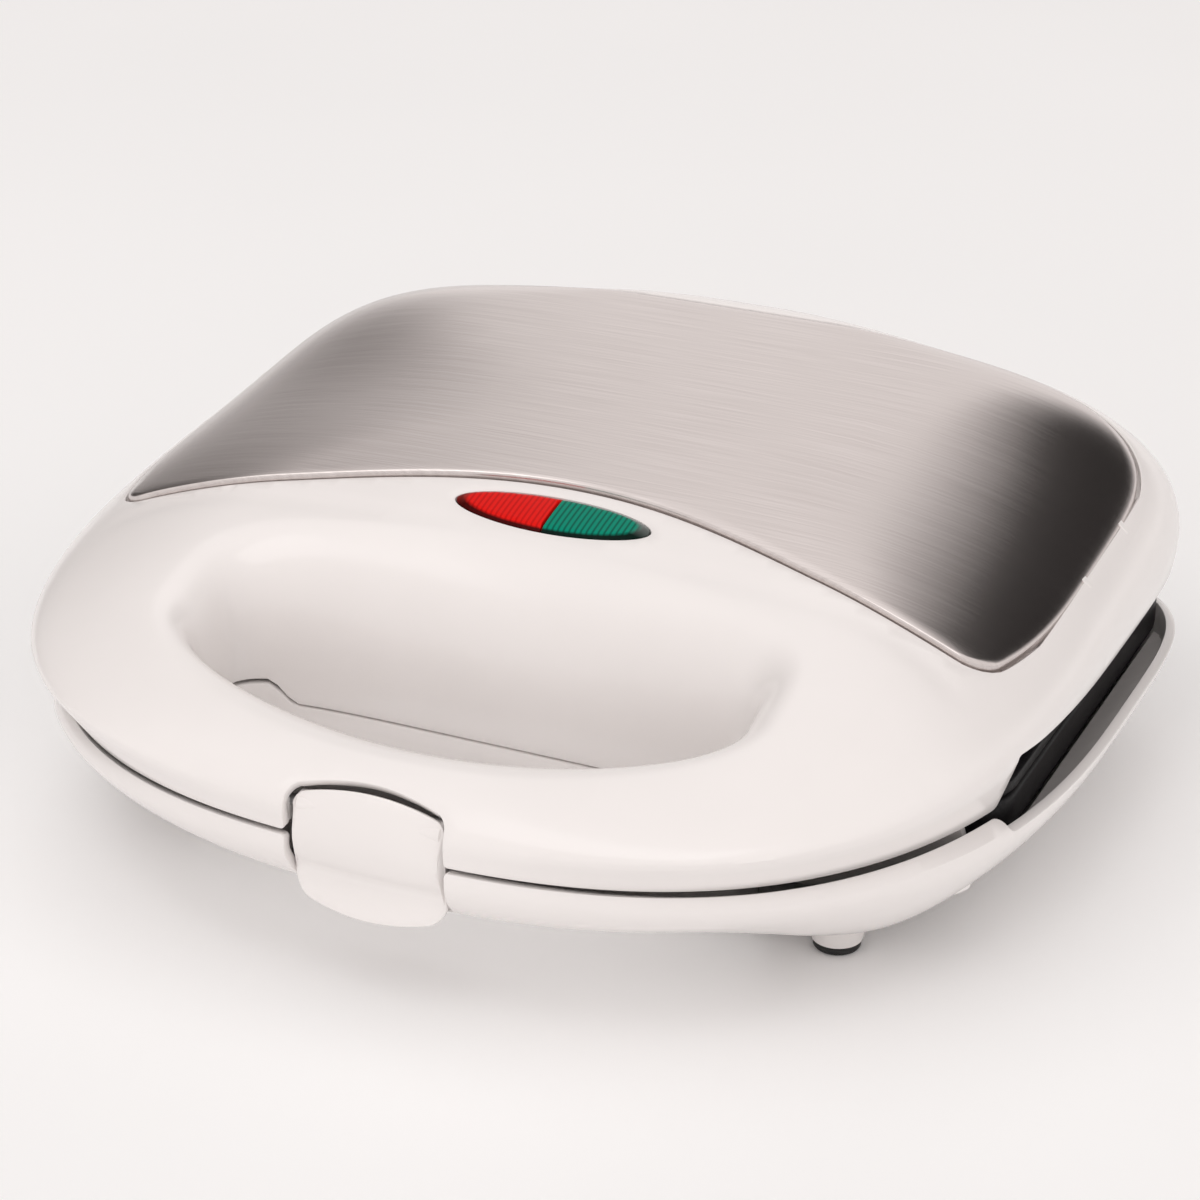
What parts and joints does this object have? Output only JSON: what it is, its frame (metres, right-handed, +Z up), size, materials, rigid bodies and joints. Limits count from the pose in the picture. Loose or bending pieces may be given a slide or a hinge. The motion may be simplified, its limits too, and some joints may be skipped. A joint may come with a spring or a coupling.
{
  "type": "donut maker",
  "caption": "Hinged clamshell mini donut maker with a through-cut carry handle, front latch, brushed trim panel, twin indicator lens and ring mould plates.",
  "frame": {"origin": "on the floor, at the centre of the closed appliance's overall footprint", "axes": "+Z up, X across the width with +X to the right as seen from the handle, -Y towards the handle and latch, +Y towards the hinge"},
  "size_m": [0.2432, 0.2151, 0.0892],
  "materials": {
    "shell_white": "high gloss moulded plastic",
    "panel_steel": "brushed across the width",
    "lens_red": "clear ribbed",
    "lens_green": "clear ribbed",
    "lamp_glass": "clear",
    "holder_plastic": "satin",
    "non_stick": "black satin non-stick coating on the casting",
    "element_steel": "heat-dulled sheath",
    "reflector_sheet": "plain sheet",
    "thermostat_body": "moulded phenolic",
    "screw_steel": "zinc plated",
    "terminal_plastic": "plain",
    "gland_black": "satin",
    "pad_rubber": "plain"
  },
  "bodies": {
    "lid": {"lid_shell": "shell_white", "trim_panel": "panel_steel", "indicator_lens_red": "lens_red", "indicator_lens_green": "lens_green", "lamp_red": "lamp_glass", "lamp_green": "lamp_glass", "lamp_holder": "holder_plastic", "upper_plate": "non_stick", "upper_heating_element": "element_steel", "upper_heat_reflector": "reflector_sheet", "upper_thermostat": "thermostat_body", "upper_plate_screw_1": "screw_steel", "upper_plate_screw_2": "screw_steel", "upper_plate_screw_3": "screw_steel", "upper_plate_screw_4": "screw_steel", "latch_pin": "screw_steel"},
    "latch": {"latch": "shell_white"},
    "base": {"base_shell": "shell_white", "lower_plate": "non_stick", "lower_heating_element": "element_steel", "lower_heat_reflector": "reflector_sheet", "lower_thermostat": "thermostat_body", "thermal_fuse": "screw_steel", "terminal_block": "terminal_plastic", "cord_gland": "gland_black", "base_screw_1": "screw_steel", "base_screw_2": "screw_steel", "base_screw_3": "screw_steel", "base_screw_4": "screw_steel", "hinge_pin_left": "screw_steel", "hinge_pin_right": "screw_steel", "foot_pad_front_left": "pad_rubber", "foot_pad_rear_left": "pad_rubber", "foot_pad_front_right": "pad_rubber", "foot_pad_rear_right": "pad_rubber"}
  },
  "joints": [
    {"name": "lid_hinge", "type": "hinge", "parent": "base", "child": "lid", "pos_m": [0, 0.103, 0.0385], "axis": [-1, 0, 0], "range_deg": [0, 100]},
    {"name": "latch_pivot", "type": "hinge", "parent": "lid", "child": "latch", "pos_m": [0, -0.1025, 0.0425], "axis": [-1, 0, 0], "range_deg": [0, 32]}
  ]
}
